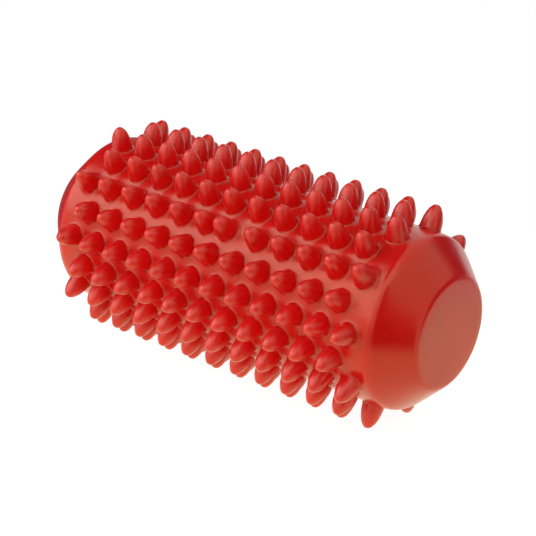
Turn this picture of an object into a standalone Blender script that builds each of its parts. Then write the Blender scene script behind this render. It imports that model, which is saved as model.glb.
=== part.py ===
"""Spiky massage roller: a hollow shell of soft vinyl with a stopper valve in one end.

Lengths are in metres and +Z is up. The roller lies along X on two rows of spikes.
The origin is the point of the floor below its middle, and the valve is in the -X end.
"""

import math

import bmesh
import bpy
from mathutils import Matrix, Vector

# Shell
LENGTH = 0.144
TIP_DIAMETER = 0.070
BODY_DIAMETER = 0.0548
WALL = 0.003
END_FACE_DIAMETER = 0.0346
BEVEL_LENGTH = 0.0107
SHOULDER_FILLET = 0.0045
RIM_FILLET = 0.003
FILLET_STEPS = 2

# Spikes
ROWS = 20
SPIKE_PITCH = 0.0099
SPIKE_BASE_DIAMETER = 0.0069
SPIKE_TIP_FLAT = 0.0022
SPIKE_SIDES = 8
ROOT_DEPTH_SHARE = 0.5
ROOT_EDGE_SHARE = 0.15
SHOULDER_HEIGHT_SHARE = 0.66
SHOULDER_WIDTH_SHARE = 0.77
STRAY_ROW = 2
STRAY_SHIFT_SHARE = 0.73

# Valve
FIT_GAP = 0.0003
FACE_SETBACK = 0.0003
VALVE_SIDES = 24
BOSS_WALL = 0.0027
BOSS_LENGTH = 0.0090
SEAT_BORE_DIAMETER = 0.0076
SEAT_BORE_WALL = 0.0022
SEAT_FLANGE_RIM = 0.0024
SEAT_FLANGE_FLOOR = 0.0009
SEAT_COLLAR_STEP = 0.0012
SEAT_COLLAR_LENGTH = 0.0026
SEAT_LEAD_IN = 0.0006
NAIL_NOTCH_DIAMETER = 0.0036
PLUG_HEAD_DIAMETER = 0.0116
PLUG_HEAD_THICKNESS = 0.0014
PLUG_HEAD_EDGE = 0.0004
PLUG_STEM_CLEARANCE = 0.0007
PLUG_STEM_LENGTH = 0.0110
PLUG_STEM_WALL = 0.0014
PLUG_NOSE_LENGTH = 0.0020
PLUG_NOSE_TAPER = 0.0006
PLUG_CROWN = 0.0020
PLUG_RIBS = 2
PLUG_RIB_WIDTH = 0.0012
CUT_OVERRUN = 0.001

# Finish
SHARP_ANGLE = math.radians(35)
RED_VINYL = (0.55, 0.012, 0.009, 1.0)
RED_VINYL_ROUGHNESS = 0.38
SEAT_RED = (0.40, 0.014, 0.012, 1.0)
SEAT_ROUGHNESS = 0.5
PLUG_WHITE = (0.80, 0.78, 0.72, 1.0)
PLUG_ROUGHNESS = 0.35

# Places worked out from the sizes above
ROW_ANGLE = 2 * math.pi / ROWS
BODY_RADIUS = BODY_DIAMETER / 2
TIP_RADIUS = TIP_DIAMETER / 2
TIP_FLAT_RADIUS = SPIKE_TIP_FLAT / 2
AXIS_HEIGHT = TIP_RADIUS * math.cos(ROW_ANGLE / 2) + TIP_FLAT_RADIUS * math.sin(ROW_ANGLE / 2)
FACET_RADIUS = BODY_RADIUS * math.cos(ROW_ANGLE / 2)
HALF_LENGTH = LENGTH / 2
STRAIGHT_LENGTH = LENGTH - 2 * BEVEL_LENGTH
SPIKES_IN_LONG_ROW = int((STRAIGHT_LENGTH - SPIKE_BASE_DIAMETER) / SPIKE_PITCH) + 1
STRAY_PLACE = SPIKES_IN_LONG_ROW // 2
STRAY_SHIFT = (SPIKE_PITCH - SPIKE_BASE_DIAMETER) * STRAY_SHIFT_SHARE
HEAD_RECESS_RADIUS = PLUG_HEAD_DIAMETER / 2 + FIT_GAP
HEAD_RECESS_DEPTH = PLUG_HEAD_THICKNESS + FIT_GAP
SEAT_BORE_RADIUS = SEAT_BORE_DIAMETER / 2
SEAT_SLEEVE_RADIUS = SEAT_BORE_RADIUS + SEAT_BORE_WALL
SEAT_FLANGE_RADIUS = HEAD_RECESS_RADIUS + SEAT_FLANGE_RIM
SEAT_FLANGE_END = FACE_SETBACK + HEAD_RECESS_DEPTH + SEAT_FLANGE_FLOOR
MERGE_DISTANCE = FIT_GAP / 100


def clear_scene():
    for old in list(bpy.data.objects):
        bpy.data.objects.remove(old, do_unlink=True)


def new_collection(name):
    collection = bpy.data.collections.new(name)
    bpy.context.scene.collection.children.link(collection)
    return collection


def plastic(name, colour, roughness):
    material = bpy.data.materials.new(name)
    material.use_nodes = True
    shader = material.node_tree.nodes["Principled BSDF"]
    shader.inputs["Base Color"].default_value = colour
    shader.inputs["Roughness"].default_value = roughness
    shader.inputs["Metallic"].default_value = 0.0
    material.diffuse_color = colour
    return material


def new_object(name, bm, collection, place, material=None):
    mesh = bpy.data.meshes.new(name)
    bm.to_mesh(mesh)
    bm.free()
    mesh.shade_smooth()
    mesh.set_sharp_from_angle(angle=SHARP_ANGLE)
    if material:
        mesh.materials.append(material)
    made = bpy.data.objects.new(name, mesh)
    made.location = place
    collection.objects.link(made)
    return made


def turned(outline, sides, closed=False):
    """The outline's points (x, radius) turned about the X axis, with a corner straight up."""
    bm = bmesh.new()
    points = [bm.verts.new((x, 0, radius)) for x, radius in outline]
    edges = [bm.edges.new(pair) for pair in zip(points, points[1:])]
    if closed:
        edges.append(bm.edges.new((points[-1], points[0])))
    bmesh.ops.spin(
        bm,
        geom=points + edges,
        cent=Vector(),
        axis=Vector((1, 0, 0)),
        angle=2 * math.pi,
        steps=sides,
        use_merge=True,
    )
    bmesh.ops.remove_doubles(bm, verts=bm.verts, dist=MERGE_DISTANCE)
    bmesh.ops.recalc_face_normals(bm, faces=bm.faces)
    return bm


def rounded(before, corner, after, radius):
    """The points of an arc of this radius that rounds the corner."""
    before, corner, after = Vector(before), Vector(corner), Vector(after)
    back = (before - corner).normalized()
    ahead = (after - corner).normalized()
    half = back.angle(ahead) / 2
    centre = corner + (back + ahead).normalized() * radius / math.sin(half)
    start = corner + back * radius / math.tan(half) - centre
    sweep = start.angle_signed(corner + ahead * radius / math.tan(half) - centre)
    arc = []
    for step in range(FILLET_STEPS + 1):
        # Matrix.Rotation turns counter-clockwise, and angle_signed counts clockwise.
        turn = Matrix.Rotation(-sweep * step / FILLET_STEPS, 2)
        arc.append(tuple(centre + turn @ start))
    return arc


def outer_outline():
    """The shell's outside from the middle of its +X face to the edge of its -X face."""
    face = END_FACE_DIAMETER / 2
    shoulder = (HALF_LENGTH - BEVEL_LENGTH, BODY_RADIUS)
    rim = (HALF_LENGTH, face)
    end = rounded((HALF_LENGTH, 0), rim, shoulder, RIM_FILLET)
    end += rounded(rim, shoulder, (0, BODY_RADIUS), SHOULDER_FILLET)
    other_end = [(-x, radius) for x, radius in reversed(end)]
    return [(HALF_LENGTH, 0)] + end + other_end


def inner_outline():
    """The hollow's outline from the valve boss at -X to the middle of the +X face."""
    slope = math.atan2(BODY_RADIUS - END_FACE_DIAMETER / 2, BEVEL_LENGTH)
    face = END_FACE_DIAMETER / 2 - WALL * math.tan((math.pi / 2 - slope) / 2)
    end = HALF_LENGTH - WALL
    shoulder = HALF_LENGTH - BEVEL_LENGTH - WALL * math.tan(slope / 2)
    radius = BODY_RADIUS - WALL
    return [(-end, face), (-shoulder, radius), (shoulder, radius), (end, face), (end, 0)]


def valve_outline():
    """The shell round its valve: the recess for the flange, the hole and the boss."""
    recess = SEAT_FLANGE_RADIUS + FIT_GAP
    recess_floor = -HALF_LENGTH + SEAT_FLANGE_END + FIT_GAP
    hole = SEAT_SLEEVE_RADIUS + FIT_GAP
    boss = recess + BOSS_WALL
    return [
        (-HALF_LENGTH, recess),
        (recess_floor, recess),
        (recess_floor, hole),
        (-HALF_LENGTH + BOSS_LENGTH, hole),
        (-HALF_LENGTH + BOSS_LENGTH, boss),
        (-HALF_LENGTH + WALL, boss),
    ]


def spike_field():
    """Every spike, as closed bodies whose roots stand in the shell's wall."""
    height = TIP_RADIUS - FACET_RADIUS
    root_depth = WALL * ROOT_DEPTH_SHARE
    base = SPIKE_BASE_DIAMETER / 2
    outline = [
        (FACET_RADIUS - root_depth, 0),
        (FACET_RADIUS - root_depth, base),
        (FACET_RADIUS - root_depth * ROOT_EDGE_SHARE, base),
        (FACET_RADIUS + height * SHOULDER_HEIGHT_SHARE, base * SHOULDER_WIDTH_SHARE),
        (TIP_RADIUS, TIP_FLAT_RADIUS),
        (TIP_RADIUS, 0),
    ]
    spike = turned(outline, SPIKE_SIDES)
    stand_up = Matrix.Rotation(-math.pi / 2, 4, "Y")
    field = bmesh.new()
    pattern = bpy.data.meshes.new("spike")
    spike.transform(stand_up)
    spike.to_mesh(pattern)
    spike.free()
    for row in range(ROWS):
        count = SPIKES_IN_LONG_ROW - row % 2
        round_the_body = Matrix.Rotation((row + 1 / 2) * ROW_ANGLE, 4, "X")
        for place in range(count):
            along = (place - (count - 1) / 2) * SPIKE_PITCH
            if (row, place) == (STRAY_ROW, STRAY_PLACE):
                along -= STRAY_SHIFT
            copy = pattern.copy()
            copy.transform(round_the_body @ Matrix.Translation((along, 0, 0)))
            field.from_mesh(copy)
            bpy.data.meshes.remove(copy)
    bpy.data.meshes.remove(pattern)
    return field


def flatten_rows(bm):
    """Gives the round body a flat strip under each row of spikes, between its shoulders."""
    strip_ends = set()
    for vert in bm.verts:
        rows_round = math.atan2(vert.co.y, vert.co.z) / ROW_ANGLE
        on_row = abs(rows_round - math.floor(rows_round) - 1 / 2) < 1 / 4
        if on_row and math.hypot(vert.co.y, vert.co.z) > BODY_RADIUS - MERGE_DISTANCE:
            vert.co.yz *= math.cos(ROW_ANGLE / 2)
            strip_ends.add(vert)
    middles = [edge for edge in bm.edges if strip_ends.issuperset(edge.verts)]
    bmesh.ops.dissolve_edges(bm, edges=middles, use_verts=False)


def make_shell(parts, helpers):
    centre = (0, 0, AXIS_HEIGHT)
    outline = outer_outline() + valve_outline() + inner_outline()
    body = turned(outline, 2 * ROWS)
    flatten_rows(body)
    vinyl = plastic("red_vinyl", RED_VINYL, RED_VINYL_ROUGHNESS)
    shell = new_object("roller_shell", body, parts, centre, vinyl)
    spikes = new_object("spike_field", spike_field(), helpers, centre)
    union = shell.modifiers.new("spikes", "BOOLEAN")
    union.operation = "UNION"
    union.solver = "EXACT"
    union.object = spikes


def make_valve_seat(parts, helpers, place):
    """The insert in the boss. Its collar snaps behind the boss, and its bore holds the plug."""
    collar_start = BOSS_LENGTH + FIT_GAP
    seat_end = collar_start + SEAT_COLLAR_LENGTH
    head_end = FACE_SETBACK + HEAD_RECESS_DEPTH
    outline = [
        (FACE_SETBACK, HEAD_RECESS_RADIUS),
        (FACE_SETBACK, SEAT_FLANGE_RADIUS),
        (SEAT_FLANGE_END, SEAT_FLANGE_RADIUS),
        (SEAT_FLANGE_END, SEAT_SLEEVE_RADIUS),
        (collar_start, SEAT_SLEEVE_RADIUS),
        (collar_start, SEAT_SLEEVE_RADIUS + SEAT_COLLAR_STEP),
        (seat_end, SEAT_SLEEVE_RADIUS),
        (seat_end, SEAT_BORE_RADIUS),
        (head_end + SEAT_LEAD_IN, SEAT_BORE_RADIUS),
        (head_end, SEAT_BORE_RADIUS + SEAT_LEAD_IN),
        (head_end, HEAD_RECESS_RADIUS),
    ]
    vinyl = plastic("firm_vinyl", SEAT_RED, SEAT_ROUGHNESS)
    body = turned(outline, VALVE_SIDES, closed=True)
    seat = new_object("valve_seat", body, parts, place, vinyl)
    notch = bmesh.new()
    bmesh.ops.create_cone(
        notch,
        cap_ends=True,
        segments=VALVE_SIDES,
        radius1=NAIL_NOTCH_DIAMETER / 2,
        radius2=NAIL_NOTCH_DIAMETER / 2,
        depth=HEAD_RECESS_DEPTH + CUT_OVERRUN,
        matrix=Matrix.Rotation(math.pi / 2, 4, "Y"),
    )
    middle = head_end - (HEAD_RECESS_DEPTH + CUT_OVERRUN) / 2
    beside_head = Vector((middle, 0, HEAD_RECESS_RADIUS))
    cutter = new_object("nail_notch", notch, helpers, Vector(place) + beside_head)
    cut = seat.modifiers.new("nail_notch", "BOOLEAN")
    cut.operation = "DIFFERENCE"
    cut.solver = "EXACT"
    cut.object = cutter


def make_valve_plug(parts, place):
    """The stopper. Its head lies in the seat's face, and its hollow stem fills the bore."""
    head = PLUG_HEAD_DIAMETER / 2
    stem = SEAT_BORE_RADIUS - PLUG_STEM_CLEARANCE
    rib_radius = SEAT_BORE_RADIUS - FIT_GAP
    bore = stem - PLUG_STEM_WALL
    under_head = FACE_SETBACK + PLUG_HEAD_THICKNESS
    nose = under_head + PLUG_STEM_LENGTH
    rib_spacing = (PLUG_STEM_LENGTH - PLUG_NOSE_LENGTH) / (PLUG_RIBS + 1)
    outline = [
        (FACE_SETBACK, 0),
        (FACE_SETBACK, head - PLUG_HEAD_EDGE),
        (FACE_SETBACK + PLUG_HEAD_EDGE, head),
        (under_head, head),
        (under_head, stem),
    ]
    for rib in range(PLUG_RIBS):
        top = under_head + (rib + 1) * rib_spacing - PLUG_RIB_WIDTH / 2
        outline += [
            (top, stem),
            (top + PLUG_RIB_WIDTH / 3, rib_radius),
            (top + PLUG_RIB_WIDTH * 2 / 3, rib_radius),
            (top + PLUG_RIB_WIDTH, stem),
        ]
    outline += [
        (nose - PLUG_NOSE_LENGTH, stem),
        (nose, stem - PLUG_NOSE_TAPER),
        (nose, bore),
        (FACE_SETBACK + PLUG_CROWN, bore),
        (FACE_SETBACK + PLUG_CROWN, 0),
    ]
    white = plastic("white_plastic", PLUG_WHITE, PLUG_ROUGHNESS)
    new_object("valve_plug", turned(outline, VALVE_SIDES), parts, place, white)


def main():
    clear_scene()
    parts = new_collection("massage_roller")
    helpers = new_collection("helpers")
    valve_end = (-HALF_LENGTH, 0, AXIS_HEIGHT)
    make_shell(parts, helpers)
    make_valve_seat(parts, helpers, valve_end)
    make_valve_plug(parts, valve_end)
    for helper in helpers.objects:
        helper.hide_render = True
        helper.display_type = "WIRE"


main()
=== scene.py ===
"""The looks of a spiky massage roller of soft red vinyl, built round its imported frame.

Lengths are in metres. The roller lies along X on two rows of spikes, its valve in the -X end.
"""

import math

import bmesh
import bpy
from mathutils import Matrix, Vector


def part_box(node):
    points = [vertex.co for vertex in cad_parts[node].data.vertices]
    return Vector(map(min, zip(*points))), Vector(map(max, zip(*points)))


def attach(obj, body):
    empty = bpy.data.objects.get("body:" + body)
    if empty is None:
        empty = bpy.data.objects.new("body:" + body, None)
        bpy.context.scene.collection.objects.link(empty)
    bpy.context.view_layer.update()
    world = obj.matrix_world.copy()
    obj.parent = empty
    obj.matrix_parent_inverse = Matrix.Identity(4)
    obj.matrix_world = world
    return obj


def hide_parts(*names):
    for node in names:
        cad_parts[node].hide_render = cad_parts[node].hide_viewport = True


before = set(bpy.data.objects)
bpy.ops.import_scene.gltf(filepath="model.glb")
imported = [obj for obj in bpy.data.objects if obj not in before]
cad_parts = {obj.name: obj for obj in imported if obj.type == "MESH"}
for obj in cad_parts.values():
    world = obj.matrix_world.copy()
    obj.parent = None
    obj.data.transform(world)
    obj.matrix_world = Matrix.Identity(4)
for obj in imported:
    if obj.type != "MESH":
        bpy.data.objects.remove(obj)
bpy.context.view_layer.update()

SHELL_LOW, SHELL_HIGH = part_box("roller_shell")
SEAT_LOW, SEAT_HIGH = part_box("valve_seat")
PLUG_LOW, PLUG_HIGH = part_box("valve_plug")

# Shell
AXIS_HEIGHT = (SHELL_LOW.z + SHELL_HIGH.z) / 2
HALF_LENGTH = (SHELL_HIGH.x - SHELL_LOW.x) / 2
TIP_RADIUS = 0.035
BODY_RADIUS = 0.0274
WALL = 0.003
END_FACE_RADIUS = 0.0173
BEVEL_LENGTH = 0.0107
SHOULDER_FILLET = 0.0045
RIM_FILLET = 0.003
FILLET_STEPS = 4
INNER_FILLET = 0.0015
VALVE_EDGE = 0.0003
EDGE_STEPS = 2
MERGE_DISTANCE = 0.000001

# Valve, whose depths are measured from the -X end face
SEAT_FACE = 0.0003
SEAT_FLANGE_DEPTH = 0.0029
SEAT_FLANGE_GAP = 0.0003
SEAT_SLEEVE_RADIUS = 0.006
SEAT_COLLAR_DEPTH = 0.0093
SEAT_COLLAR_RADIUS = 0.0072
BORE_RADIUS = 0.0038
BORE_LEAD_IN = 0.0006
RECESS_RADIUS = 0.0061
RECESS_DEPTH = 0.002
NOTCH_RADIUS = 0.0018
BOSS_DEPTH = 0.009
BOSS_WALL = 0.0027
HEAD_THICKNESS = 0.0014
HEAD_DISH_RADIUS = 0.0042
HEAD_DISH_DEPTH = 0.00015
STEM_RADIUS = 0.0031
STEM_BORE_RADIUS = 0.0017
STEM_BORE_DEPTH = 0.0023
RIB_RADIUS = 0.0035
RIB_DEPTHS = (0.0041, 0.0071)
RIB_WIDTH = 0.0012
NOSE_LENGTH = 0.002
NOSE_TAPER = 0.0006
VALVE_STEPS = 96
VALVE_FILLET = 0.00015
VALVE_FILLET_STEPS = 3

# Spikes
ROWS = 20
CELLS_PER_ROW = 4
CELLS_PER_PITCH = 4
SPIKE_PITCH = 0.0099
SPIKES_IN_LONG_ROW = 12
SPIKE_RADIUS = 0.00325
SPIKE_FOOT_RADIUS = 0.00375
SPIKE_SIDES = 12
SPIKE_RINGS = ((0.04, 1.094), (0.31, 1.042), (0.58, 0.91), (0.814, 0.676), (0.982, 0.332))
TIP_HEIGHT_SHARE = 1.018
STRAY_ROW = 2
STRAY_PLACE = 6
STRAY_SHIFT = 0.0022

# Camera
LENS = 128.93
SENSOR_WIDTH = 36
CAMERA_AZIMUTH = math.radians(38.405)
CAMERA_ELEVATION = math.radians(24.537)
CAMERA_ROLL = math.radians(1.13)
CAMERA_DISTANCE = 0.603467
AIM_FROM_MIDDLE = Vector((0.002017, 0.001454, -0.000309))

# Unevenness of the materials
CLOUD_SIZE = 0.014
VALVE_CLOUD_SIZE = 0.0035
WAVE_SIZE = 0.012
WAVE_HEIGHT = 0.0001
GRAIN_SIZE = 0.0006
GRAIN_HEIGHT = 0.00004
SOFT_DETAIL = 1
CLOUD_DETAIL = 2
FINE_DETAIL = 3

# Soft red vinyl of the shell, with a softer gloss on its spikes
VINYL_RED = (0.73, 0.001, 0.002, 1)
VINYL_DEEP_RED = (0.65, 0.0006, 0.0014, 1)
VINYL_SPECK_RED = (0.62, 0.06, 0.04, 1)
MOTTLE_GRAIN_SHARE = 0.4
MOTTLE_START = 0.35
MOTTLE_END = 0.65
SPECK_SPACING = 0.004
SPECK_SIZE = 0.00022
SPECK_SHARE = 0.2
SPIKE_FINISH_START = 0.0277
SPIKE_FINISH_END = 0.0285
BODY_ROUGHNESS = 0.24
SPIKE_ROUGHNESS = 0.3
ROUGHNESS_SPREAD = 0.055
SPIKE_COAT = 0.36
SPIKE_COAT_ROUGHNESS = 0.4
VINYL_GLOSS = 0.6
VINYL_GLOSS_TINT = (1, 0.87, 0.5, 1)
VINYL_TRANSLUCENCE = 0.85
VINYL_LIGHT_REACH = 0.005
VINYL_REACH_BY_COLOUR = (1, 0.15, 0.1)

# Firm vinyl of the insert
INSERT_RED = (0.34, 0.008, 0.008, 1)
INSERT_DEEP_RED = (0.27, 0.005, 0.006, 1)
INSERT_ROUGHNESS = 0.48
INSERT_ROUGHNESS_SPREAD = 0.1

# Off-white plastic of the stopper
STOPPER_WHITE = (0.78, 0.75, 0.67, 1)
STOPPER_CREAM = (0.72, 0.67, 0.56, 1)
STOPPER_ROUGHNESS = 0.3
STOPPER_ROUGHNESS_SPREAD = 0.12
STOPPER_GRAIN_HEIGHT = 0.00002
STOPPER_TRANSLUCENCE = 0.3
STOPPER_LIGHT_REACH = 0.002
STOPPER_REACH_BY_COLOUR = (1, 0.9, 0.7)

# Floor and white studio: what the camera and the gloss see of them, and how strongly they light
WHITE = (1, 1, 1, 1)
FLOOR_RADIUS = 0.15
FLOOR_SIDES = 64
FLOOR_GREY = (0.28, 0.28, 0.28, 1)
FLOOR_GLOW = 0.94
FLOOR_GLOSS = 1.08
# Painted shade: the floor's gloss is dimmed to this at the back left, behind the roller
FLOOR_GLOSS_PAINTED_SHADE = 0.15
FLOOR_GLOSS_COLOUR = (1, 0.95, 0.7, 1)
FLOOR_BOUNCE = 0.53
STUDIO_WHITE = 1
STUDIO_STRENGTH = 0.3

# Lamps, unseen in the gloss: degrees of azimuth from +Y towards +X, of elevation and across
LAMP_COLOUR = (1, 0.96, 0.84, 1)
LAMPS = {
    "key": {"azimuth": -142, "elevation": 32, "distance": 1.2, "angles": (38, 46), "glow": 2.15},
    "low": {"azimuth": -140, "elevation": 2, "distance": 1.6, "angles": (70, 16), "glow": 1.5},
    "top": {"azimuth": -170, "elevation": 67, "distance": 1.4, "angles": (80, 24), "glow": 0.85},
    "right": {"azimuth": 135, "elevation": 15, "distance": 1.5, "angles": (30, 40), "glow": 1.35},
    "back": {"azimuth": 20, "elevation": 35, "distance": 1.5, "angles": (50, 40), "glow": 0.85},
}

# Pale and dark cards, seen only in the gloss: how far each reaches in degrees, and its brightness
CARD_COLOUR = (1, 1.05, 1.25, 1)
CARD_DISTANCE = 2.8
CARD_STEP = 10
CARDS = {
    "key": {"azimuths": (-180, -140), "elevations": (12, 60), "glow": 2.15},
    "left": {"azimuths": (-140, -100), "elevations": (12, 60), "glow": 2.8},
    "front": {"azimuths": (142, 180), "elevations": (12, 48), "glow": 1.3},
    "low_front": {"azimuths": (142, 180), "elevations": (-15, 12), "glow": 0.6},
    "top_left": {"azimuths": (-180, -100), "elevations": (60, 85), "glow": 0.02},
    "top_right": {"azimuths": (100, 180), "elevations": (48, 85), "glow": 1.8},
    "right": {"azimuths": (117, 142), "elevations": (-20, 48), "glow": 0.02},
    "far": {"azimuths": (20, 84), "elevations": (-14, 26), "glow": 0.15},
    "painted_shade": {"azimuths": (-100, -40), "elevations": (-45, 80), "glow": 0.08},
    "back": {"azimuths": (-10, 20), "elevations": (0, 30), "glow": 0.08},
}

# Places worked out from the sizes above
ROW_ANGLE = 2 * math.pi / ROWS
CELL_ANGLE = ROW_ANGLE / CELLS_PER_ROW
CELL_LENGTH = SPIKE_PITCH / CELLS_PER_PITCH
SPIKE_HEIGHT = TIP_RADIUS - BODY_RADIUS
SEAT_RADIUS = (SEAT_HIGH.z - SEAT_LOW.z) / 2
SEAT_LENGTH = SEAT_HIGH.x - SEAT_LOW.x
HEAD_RADIUS = (PLUG_HIGH.z - PLUG_LOW.z) / 2
PLUG_LENGTH = PLUG_HIGH.x - PLUG_LOW.x
MIDDLE = Vector((0, 0, AXIS_HEIGHT))


def rounded(before, corner, after, radius, steps):
    """The points of an arc of this radius that rounds the corner."""
    before, corner, after = Vector(before), Vector(corner), Vector(after)
    back = (before - corner).normalized()
    ahead = (after - corner).normalized()
    half = back.angle(ahead) / 2
    centre = corner + (back + ahead).normalized() * radius / math.sin(half)
    start = corner + back * radius / math.tan(half) - centre
    sweep = start.angle_signed(corner + ahead * radius / math.tan(half) - centre)
    turns = [Matrix.Rotation(-sweep * step / steps, 2) for step in range(steps + 1)]
    return [centre + turn @ start for turn in turns]


def filleted(corners):
    """An outline through (x, radius, fillet, steps) corners, with its two ends left sharp."""
    points = [Vector(corners[0][:2])]
    for before, corner, after in zip(corners, corners[1:], corners[2:]):
        points += rounded(before[:2], corner[:2], after[:2], corner[2], corner[3])
    return points + [Vector(corners[-1][:2])]


def turned(outline, steps, start_angle=0, closed=False):
    """The outline's points (x, radius) turned about the X axis."""
    bm = bmesh.new()
    points = [bm.verts.new((x, 0, radius)) for x, radius in outline]
    edges = [bm.edges.new(pair) for pair in zip(points, points[1:])]
    if closed:
        edges.append(bm.edges.new((points[-1], points[0])))
    bmesh.ops.rotate(bm, verts=points, matrix=Matrix.Rotation(start_angle, 3, "X"))
    bmesh.ops.spin(
        bm,
        geom=points + edges,
        cent=Vector(),
        axis=Vector((1, 0, 0)),
        angle=2 * math.pi,
        steps=steps,
        use_merge=True,
    )
    bmesh.ops.remove_doubles(bm, verts=bm.verts, dist=MERGE_DISTANCE)
    bmesh.ops.recalc_face_normals(bm, faces=bm.faces)
    return bm


def new_piece(name, bm, body, node, material):
    """A finished piece, which rides on its body and stands for its CAD node."""
    mesh = bpy.data.meshes.new(name)
    bm.to_mesh(mesh)
    bm.free()
    mesh.shade_smooth()
    piece = bpy.data.objects.new(name, mesh)
    bpy.context.scene.collection.objects.link(piece)
    mesh.materials.append(material)
    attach(piece, body)
    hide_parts(node)
    return piece


def shell_outline():
    """From the plain face's middle, along the outside, round the valve's hole and back inside."""
    end, face = HALF_LENGTH, END_FACE_RADIUS
    shoulder = end - BEVEL_LENGTH
    slope = math.atan2(BODY_RADIUS - face, BEVEL_LENGTH)
    inner_end = end - WALL
    inner_face = face - WALL * math.tan((math.pi / 2 - slope) / 2)
    inner_shoulder = shoulder - WALL * math.tan(slope / 2)
    inner_radius = BODY_RADIUS - WALL
    flange_hole = SEAT_RADIUS + SEAT_FLANGE_GAP
    flange_floor = -end + SEAT_FLANGE_DEPTH + SEAT_FLANGE_GAP
    sleeve_hole = SEAT_SLEEVE_RADIUS + SEAT_FLANGE_GAP
    boss_end = -end + BOSS_DEPTH
    boss = flange_hole + BOSS_WALL
    outer_end = filleted([
        (end, 0),
        (end, face, RIM_FILLET, FILLET_STEPS),
        (shoulder, BODY_RADIUS, SHOULDER_FILLET, FILLET_STEPS),
        (0, BODY_RADIUS),
    ])[:-1]
    lines = SPIKES_IN_LONG_ROW * CELLS_PER_PITCH // 2
    straight = [((line - 0.5) * CELL_LENGTH, BODY_RADIUS) for line in range(lines, -lines, -1)]
    other_end = [(-x, radius) for x, radius in reversed(outer_end[1:])]
    back_inside = filleted([
        other_end[-1],
        (-end, flange_hole, VALVE_EDGE, EDGE_STEPS),
        (flange_floor, flange_hole, VALVE_EDGE, EDGE_STEPS),
        (flange_floor, sleeve_hole, VALVE_EDGE, EDGE_STEPS),
        (boss_end, sleeve_hole, VALVE_EDGE, EDGE_STEPS),
        (boss_end, boss, VALVE_EDGE, EDGE_STEPS),
        (-inner_end, boss, INNER_FILLET, EDGE_STEPS),
        (-inner_end, inner_face, INNER_FILLET, EDGE_STEPS),
        (-inner_shoulder, inner_radius, INNER_FILLET, EDGE_STEPS),
        (inner_shoulder, inner_radius, INNER_FILLET, EDGE_STEPS),
        (inner_end, inner_face, INNER_FILLET, EDGE_STEPS),
        (inner_end, 0),
    ])[1:]
    return outer_end + straight + other_end + back_inside


def row_turn(row):
    """Turns the top of the roller to the middle of this row."""
    return Matrix.Rotation((row + 1 / 2) * ROW_ANGLE, 3, "X")


def place_of(point):
    """The row and the place along it of the spike that is nearest to a point of the body."""
    row = int(math.atan2(-point.y, point.z) % (2 * math.pi) / ROW_ANGLE)
    shift = SPIKE_PITCH / 2 if row % 2 == 0 else 0
    return row, round((point.x - shift) / SPIKE_PITCH) * SPIKE_PITCH + shift


def set_ring(face, radius, height):
    """Sets a face's corners on a ring round its spike, which lies on the body at height zero."""
    row, along = place_of(face.calc_center_median())
    turn = row_turn(row)
    back = turn.transposed()
    step = 2 * math.pi / SPIKE_SIDES
    for vert in face.verts:
        local = back @ vert.co
        angle = math.atan2(-local.y, local.x - along)
        angle = (math.floor(angle / step) + 1 / 2) * step
        across = radius * math.sin(angle)
        dip = BODY_RADIUS - math.sqrt(BODY_RADIUS**2 - across**2)
        up = BODY_RADIUS + height - dip * (1 - height / SPIKE_HEIGHT)
        vert.co = turn @ Vector((along + radius * math.cos(angle), -across, up))


def grow_spikes(bm):
    """Joins nine cells into a round foot for each spike, and extrudes each foot to its tip."""
    cells = {}
    for face in bm.faces:
        middle = face.calc_center_median()
        if math.hypot(middle.y, middle.z) > BODY_RADIUS * math.cos(CELL_ANGLE):
            angle = math.atan2(-middle.y, middle.z) % (2 * math.pi)
            cells[round(middle.x / CELL_LENGTH), round(angle / CELL_ANGLE)] = face
    feet = []
    near = (-1, 0, 1)
    for row in range(ROWS):
        around = row * CELLS_PER_ROW + CELLS_PER_ROW // 2
        count = SPIKES_IN_LONG_ROW - row % 2
        for place in range(count):
            column = round((place - (count - 1) / 2) * CELLS_PER_PITCH)
            feet += [cells[column + i, around + j] for i in near for j in near]
    tops = bmesh.ops.dissolve_faces(bm, faces=feet, use_verts=False)["region"]
    for foot in tops:
        set_ring(foot, SPIKE_FOOT_RADIUS, 0)
    for height_share, radius_share in SPIKE_RINGS:
        tops = bmesh.ops.extrude_discrete_faces(bm, faces=tops)["faces"]
        for top in tops:
            set_ring(top, SPIKE_RADIUS * radius_share, SPIKE_HEIGHT * height_share)
    for tip in bmesh.ops.poke(bm, faces=tops)["verts"]:
        row, along = place_of(tip.co)
        height = SPIKE_HEIGHT * TIP_HEIGHT_SHARE
        tip.co = row_turn(row) @ Vector((along, 0, BODY_RADIUS + height))


def fade(distance, start, end):
    """1 up to the start, 0 from the end on, and straight between them."""
    return min(1, max(0, (end - distance) / (end - start)))


def shift_stray(bm):
    """Moves the one spike that stands off its place in the row, with the surface at its foot."""
    back = row_turn(STRAY_ROW).transposed()
    along = (STRAY_PLACE - (SPIKES_IN_LONG_ROW - 1) / 2) * SPIKE_PITCH
    foot = SPIKE_FOOT_RADIUS
    next_foot = SPIKE_PITCH - foot
    next_row = ROW_ANGLE * BODY_RADIUS - foot
    for vert in bm.verts:
        local = back @ vert.co
        outside = math.hypot(local.y, local.z) > BODY_RADIUS - WALL / 2
        if outside and local.z > BODY_RADIUS / 2:
            share = fade(abs(local.x - along), foot, next_foot)
            vert.co.x -= STRAY_SHIFT * (share * fade(abs(local.y), foot, next_row))


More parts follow.
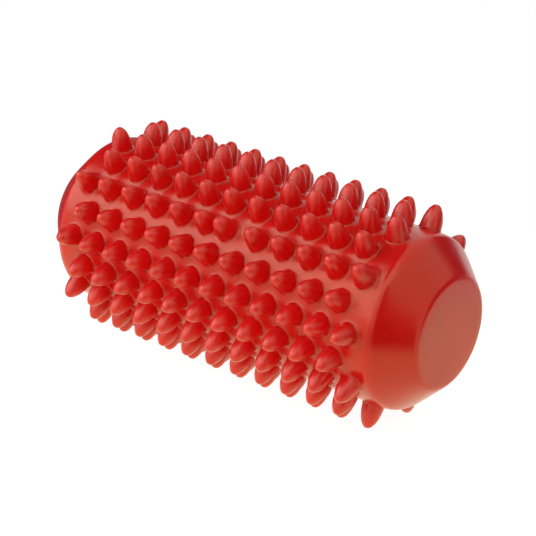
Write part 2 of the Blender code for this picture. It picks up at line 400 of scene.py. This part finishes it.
class Value:
    """A node's output. An expression on values adds the Math nodes that work it out."""

    def __init__(self, nodes, socket):
        self.nodes = nodes
        self.socket = socket

    def beside(self, name):
        """Another output of the same node."""
        return Value(self.nodes, self.socket.node.outputs[name])

    def maths(self, operation, first, second):
        """A Math node on two outputs or numbers."""
        return self.nodes.add("Math", {"operation": operation}, {0: first, 1: second})

    def __add__(self, other):
        return self.maths("ADD", self, other)

    def __radd__(self, other):
        return self.maths("ADD", other, self)

    def __sub__(self, other):
        return self.maths("SUBTRACT", self, other)

    def __rsub__(self, other):
        return self.maths("SUBTRACT", other, self)

    def __mul__(self, other):
        return self.maths("MULTIPLY", self, other)

    def __rmul__(self, other):
        return self.maths("MULTIPLY", other, self)


class Nodes:
    """The nodes of a material or of the world."""

    def __init__(self, holder):
        holder.use_nodes = True
        self.tree = holder.node_tree
        self.tree.nodes.clear()

    def add(self, kind, settings, sockets, output=0):
        """Adds a node, with its settings first and then its sockets, and gives one output."""
        node = self.tree.nodes.new("ShaderNode" + kind)
        for name, setting in settings.items():
            setattr(node, name, setting)
        for name, given in sockets.items():
            if isinstance(given, Value):
                self.tree.links.new(given.socket, node.inputs[name])
            else:
                node.inputs[name].default_value = given
        return Value(self, node.outputs[output]) if node.outputs else None

    def place(self):
        """Where a point lies on the object."""
        return self.add("TexCoord", {}, {}, "Object")

    def noise(self, size, detail):
        """Soft random values with features of this size in metres, from 0 to 1."""
        sockets = {"Vector": self.place(), "Scale": 1 / size, "Detail": detail}
        return self.add("TexNoise", {}, sockets)

    def step(self, value, start, end):
        """0 below the start, 1 above the end, and smooth between them."""
        span = {"Value": value, "From Min": start, "From Max": end}
        return self.add("MapRange", {"interpolation_type": "SMOOTHSTEP"}, span)

    def blend(self, share, first, second):
        """The first colour where the share is 0, and the second where it is 1."""
        return self.add("Mix", {"data_type": "RGBA"}, {0: share, 6: first, 7: second}, 2)

    def bump(self, height, distance, under=None):
        """A normal for a height from 0 to 1 that stands this distance in metres proud."""
        sockets = {"Height": height, "Distance": distance}
        if under:
            sockets["Normal"] = under
        return self.add("Bump", {}, sockets, "Normal")

    def shown(self, camera_strength, gloss_strength, light_strength, gloss_colour=WHITE):
        """What the camera, the gloss (or clear things) and the light get of floor or world."""
        camera = self.add("LightPath", {}, {}, "Is Camera Ray")
        gloss = camera.beside("Is Glossy Ray") + camera.beside("Is Transmission Ray")
        strength = light_strength + camera * (camera_strength - light_strength)
        strength = strength + gloss * (gloss_strength - light_strength)
        colour = self.blend(camera, LAMP_COLOUR, WHITE)
        return {"Strength": strength, "Color": self.blend(gloss, colour, gloss_colour)}

    def finish(self, shader, kind="Material"):
        """Gives the shader to the surface, or to the world."""
        self.add("Output" + kind, {}, {"Surface": shader})


def soft_red_vinyl():
    """Satin, slightly translucent vinyl with a cloudy mottle and a few pale specks."""
    material = bpy.data.materials.new("soft_red_vinyl")
    nodes = Nodes(material)
    flat = {"Vector": nodes.place(), "Location": (0, 0, -AXIS_HEIGHT), "Scale": (0, 1, 1)}
    from_axis = nodes.add("Mapping", {"vector_type": "POINT"}, flat)
    radius = nodes.add("VectorMath", {"operation": "LENGTH"}, {0: from_axis}, "Value")
    spike = nodes.step(radius, SPIKE_FINISH_START, SPIKE_FINISH_END)
    clouds = nodes.noise(CLOUD_SIZE, CLOUD_DETAIL)
    grain = nodes.noise(GRAIN_SIZE, SOFT_DETAIL)
    waves = nodes.noise(WAVE_SIZE, SOFT_DETAIL)
    mottle = clouds * (1 - MOTTLE_GRAIN_SHARE) + grain * MOTTLE_GRAIN_SHARE
    mottle = nodes.step(mottle, MOTTLE_START, MOTTLE_END)
    cells = {"Vector": nodes.place(), "Scale": 1 / SPECK_SPACING}
    near = nodes.add("TexVoronoi", {}, cells)
    which = nodes.add("SeparateColor", {}, {0: near.beside("Color")})
    chosen = nodes.step(which, 1 - SPECK_SHARE, 1 - SPECK_SHARE / 2)
    edge = SPECK_SIZE / SPECK_SPACING
    speck = chosen * (1 - nodes.step(near, edge / 2, edge))
    colour = nodes.blend(mottle, VINYL_DEEP_RED, VINYL_RED)
    colour = nodes.blend(speck, colour, VINYL_SPECK_RED)
    rough = BODY_ROUGHNESS + spike * (SPIKE_ROUGHNESS - BODY_ROUGHNESS)
    rough = rough - ROUGHNESS_SPREAD / 2 + clouds * ROUGHNESS_SPREAD
    normal = nodes.bump(waves, WAVE_HEIGHT)
    normal = nodes.bump(grain, GRAIN_HEIGHT, normal)
    shader = nodes.add("BsdfPrincipled", {}, {
        "Base Color": colour,
        "Roughness": rough,
        "Normal": normal,
        "Coat Weight": spike * SPIKE_COAT,
        "Coat Roughness": SPIKE_COAT_ROUGHNESS,
        "Specular IOR Level": VINYL_GLOSS,
        "Specular Tint": VINYL_GLOSS_TINT,
        "Subsurface Weight": VINYL_TRANSLUCENCE,
        "Subsurface Radius": VINYL_REACH_BY_COLOUR,
        "Subsurface Scale": VINYL_LIGHT_REACH,
    })
    nodes.finish(shader)
    return material


def firm_red_vinyl():
    """Matte, darker vinyl, with the fine grain of its mould."""
    material = bpy.data.materials.new("firm_red_vinyl")
    nodes = Nodes(material)
    clouds = nodes.noise(VALVE_CLOUD_SIZE, CLOUD_DETAIL)
    grain = nodes.noise(GRAIN_SIZE, FINE_DETAIL)
    shader = nodes.add("BsdfPrincipled", {}, {
        "Base Color": nodes.blend(clouds, INSERT_DEEP_RED, INSERT_RED),
        "Roughness": INSERT_ROUGHNESS + grain * INSERT_ROUGHNESS_SPREAD,
        "Normal": nodes.bump(grain, GRAIN_HEIGHT),
    })
    nodes.finish(shader)
    return material


def white_plastic():
    """Smooth off-white plastic, a little creamier in places, as natural polymer is."""
    material = bpy.data.materials.new("white_plastic")
    nodes = Nodes(material)
    clouds = nodes.noise(VALVE_CLOUD_SIZE, CLOUD_DETAIL)
    grain = nodes.noise(GRAIN_SIZE, FINE_DETAIL)
    shader = nodes.add("BsdfPrincipled", {}, {
        "Base Color": nodes.blend(clouds, STOPPER_CREAM, STOPPER_WHITE),
        "Roughness": STOPPER_ROUGHNESS + grain * STOPPER_ROUGHNESS_SPREAD,
        "Normal": nodes.bump(grain, STOPPER_GRAIN_HEIGHT),
        "Subsurface Weight": STOPPER_TRANSLUCENCE,
        "Subsurface Radius": STOPPER_REACH_BY_COLOUR,
        "Subsurface Scale": STOPPER_LIGHT_REACH,
    })
    nodes.finish(shader)
    return material


def make_shell():
    """The shell with its spikes, smoothed once."""
    bm = turned(shell_outline(), ROWS * CELLS_PER_ROW, CELL_ANGLE / 2)
    grow_spikes(bm)
    shift_stray(bm)
    bmesh.ops.translate(bm, verts=bm.verts, vec=MIDDLE)
    shell = new_piece("spiked_shell", bm, "roller", "roller_shell", soft_red_vinyl())
    smooth = shell.modifiers.new("smooth", "SUBSURF")
    smooth.levels = 1
    smooth.render_levels = 1


def from_valve_face(corners):
    """Corners whose depths are measured from the -X end face, with all edges rounded alike."""
    rounding = (VALVE_FILLET, VALVE_FILLET_STEPS)
    return [(depth - HALF_LENGTH, radius, *rounding) for depth, radius in corners]


def make_seat():
    """The insert: its flange and recess, the sleeve, the snap collar and the bore's lead-in."""
    end = SEAT_FACE + SEAT_LENGTH
    corners = from_valve_face([
        (SEAT_FACE, RECESS_RADIUS),
        (SEAT_FACE, SEAT_RADIUS),
        (SEAT_FLANGE_DEPTH, SEAT_RADIUS),
        (SEAT_FLANGE_DEPTH, SEAT_SLEEVE_RADIUS),
        (SEAT_COLLAR_DEPTH, SEAT_SLEEVE_RADIUS),
        (SEAT_COLLAR_DEPTH, SEAT_COLLAR_RADIUS),
        (end, SEAT_SLEEVE_RADIUS),
        (end, BORE_RADIUS),
        (RECESS_DEPTH + BORE_LEAD_IN, BORE_RADIUS),
        (RECESS_DEPTH, BORE_RADIUS + BORE_LEAD_IN),
        (RECESS_DEPTH, RECESS_RADIUS),
    ])
    ring = filleted(corners[-1:] + corners + corners[:1])[1:-1]
    bm = turned(ring, VALVE_STEPS, closed=True)
    for vert in bm.verts:
        if abs(vert.co.yz.length - RECESS_RADIUS) < VALVE_FILLET + MERGE_DISTANCE:
            scallop(vert)
    bmesh.ops.translate(bm, verts=bm.verts, vec=MIDDLE)
    new_piece("valve_insert", bm, "roller", "valve_seat", firm_red_vinyl())


def scallop(vert):
    """Moves a corner of the recess's wall out to the nail notch's round, at the top."""
    beside, up = vert.co.y, vert.co.z
    if up > 0 and abs(beside) < NOTCH_RADIUS:
        edge = vert.co.yz.length - RECESS_RADIUS
        reach = math.sqrt(NOTCH_RADIUS**2 - beside**2)
        vert.co.z = max(up, RECESS_RADIUS + reach + edge)


def make_plug():
    """The stopper: a dished head, and a hollow stem with two ribs and a tapered nose."""
    end = SEAT_FACE + PLUG_LENGTH
    under_head = SEAT_FACE + HEAD_THICKNESS
    corners = [(SEAT_FACE + HEAD_DISH_DEPTH, 0), (SEAT_FACE + HEAD_DISH_DEPTH, HEAD_DISH_RADIUS)]
    corners += [(SEAT_FACE, HEAD_DISH_RADIUS + HEAD_DISH_DEPTH * 2), (SEAT_FACE, HEAD_RADIUS)]
    corners += [(under_head, HEAD_RADIUS), (under_head, STEM_RADIUS)]
    for depth in RIB_DEPTHS:
        corners += [
            (depth, STEM_RADIUS),
            (depth + RIB_WIDTH / 3, RIB_RADIUS),
            (depth + RIB_WIDTH * 2 / 3, RIB_RADIUS),
            (depth + RIB_WIDTH, STEM_RADIUS),
        ]
    corners += [
        (end - NOSE_LENGTH, STEM_RADIUS),
        (end, STEM_RADIUS - NOSE_TAPER),
        (end, STEM_BORE_RADIUS),
        (STEM_BORE_DEPTH, STEM_BORE_RADIUS),
        (STEM_BORE_DEPTH, 0),
    ]
    bm = turned(filleted(from_valve_face(corners)), VALVE_STEPS)
    bmesh.ops.translate(bm, verts=bm.verts, vec=MIDDLE)
    new_piece("valve_stopper", bm, "plug", "valve_plug", white_plastic())


def make_camera():
    """The camera that took the photograph, as fitted to the spikes and the ends."""
    data = bpy.data.cameras.new("camera")
    data.lens = LENS
    data.sensor_width = SENSOR_WIDTH
    camera = bpy.data.objects.new("camera", data)
    bpy.context.scene.collection.objects.link(camera)
    flat = math.cos(CAMERA_ELEVATION)
    back = Vector((
        math.sin(CAMERA_AZIMUTH) * flat,
        -math.cos(CAMERA_AZIMUTH) * flat,
        math.sin(CAMERA_ELEVATION),
    ))
    camera.location = MIDDLE + AIM_FROM_MIDDLE + back * CAMERA_DISTANCE
    level = (-back).to_track_quat("-Z", "Y").to_matrix()
    camera.rotation_euler = (level @ Matrix.Rotation(CAMERA_ROLL, 3, "Z")).to_euler()
    bpy.context.scene.camera = camera


def direction(azimuth, elevation):
    """Outwards from the roller's middle, for angles in degrees."""
    azimuth, elevation = math.radians(azimuth), math.radians(elevation)
    flat = math.cos(elevation)
    return Vector((math.sin(azimuth) * flat, math.cos(azimuth) * flat, math.sin(elevation)))


def new_stage(name, bm):
    """A part of the studio, which isn't part of the roller."""
    mesh = bpy.data.meshes.new(name)
    bm.to_mesh(mesh)
    bm.free()
    stage = bpy.data.objects.new(name, mesh)
    bpy.context.scene.collection.objects.link(stage)
    mesh.materials.append(bpy.data.materials.new(name))
    return stage


def make_floor():
    """A floor that shows as white, with the shadow, and has a painted shade that darkens it in the
    gloss at the back left.
    """
    bm = bmesh.new()
    bmesh.ops.create_circle(bm, cap_ends=True, segments=FLOOR_SIDES, radius=FLOOR_RADIUS)
    floor = new_stage("floor", bm)
    nodes = Nodes(floor.data.materials[0])
    along = nodes.add("SeparateXYZ", {}, {0: nodes.place()})
    # Painted shade behind the roller: the floor is dimmer in the gloss at the back left
    left = 1 - nodes.step(along, -HALF_LENGTH, TIP_RADIUS - HALF_LENGTH)
    painted_shade = left * nodes.step(along.beside("Y"), 0, BODY_RADIUS)
    gloss = FLOOR_GLOSS + painted_shade * (FLOOR_GLOSS_PAINTED_SHADE - FLOOR_GLOSS)
    paint = nodes.add("BsdfDiffuse", {}, {"Color": FLOOR_GREY})
    glow = nodes.shown(FLOOR_GLOW, gloss, FLOOR_BOUNCE, FLOOR_GLOSS_COLOUR)
    light = nodes.add("Emission", {}, glow)
    nodes.finish(nodes.add("AddShader", {}, {0: paint, 1: light}))


def make_cards():
    """Curved cards round the studio, which only show in the gloss."""
    for name, card in CARDS.items():
        start, end = card["azimuths"]
        bm = bmesh.new()
        ends = [MIDDLE + direction(start, height) * CARD_DISTANCE for height in card["elevations"]]
        corners = [bm.verts.new(corner) for corner in ends]
        bmesh.ops.spin(
            bm,
            geom=corners + [bm.edges.new(corners)],
            cent=MIDDLE,
            axis=Vector((0, 0, 1)),
            angle=math.radians(start - end),
            steps=round((end - start) / CARD_STEP),
        )
        stage = new_stage(name + "_card", bm)
        nodes = Nodes(stage.data.materials[0])
        look = {"Strength": card["glow"], "Color": CARD_COLOUR}
        nodes.finish(nodes.add("Emission", {}, look))
        stage.visible_camera = False
        stage.visible_shadow = False
        stage.visible_diffuse = False


def make_light():
    """A white studio with soft lamps round the roller."""
    world = bpy.data.worlds.new("studio")
    bpy.context.scene.world = world
    nodes = Nodes(world)
    walls = nodes.shown(STUDIO_WHITE, STUDIO_WHITE, STUDIO_STRENGTH)
    nodes.finish(nodes.add("Background", {}, walls), "World")
    for name, given in LAMPS.items():
        data = bpy.data.lights.new(name, "AREA")
        data.shape = "RECTANGLE"
        spans = [math.tan(math.radians(angle) / 2) for angle in given["angles"]]
        data.size = 2 * given["distance"] * spans[0]
        data.size_y = 2 * given["distance"] * spans[1]
        data.energy = given["glow"] * math.pi * data.size * data.size_y
        data.color = LAMP_COLOUR[:3]
        lamp = bpy.data.objects.new(name, data)
        bpy.context.scene.collection.objects.link(lamp)
        out = direction(given["azimuth"], given["elevation"])
        lamp.location = MIDDLE + out * given["distance"]
        lamp.rotation_euler = out.to_track_quat("Z", "Y").to_euler()
        lamp.visible_camera = False
        lamp.visible_glossy = False


bpy.context.scene.view_settings.view_transform = "Standard"
make_shell()
make_seat()
make_plug()
make_camera()
make_floor()
make_cards()
make_light()
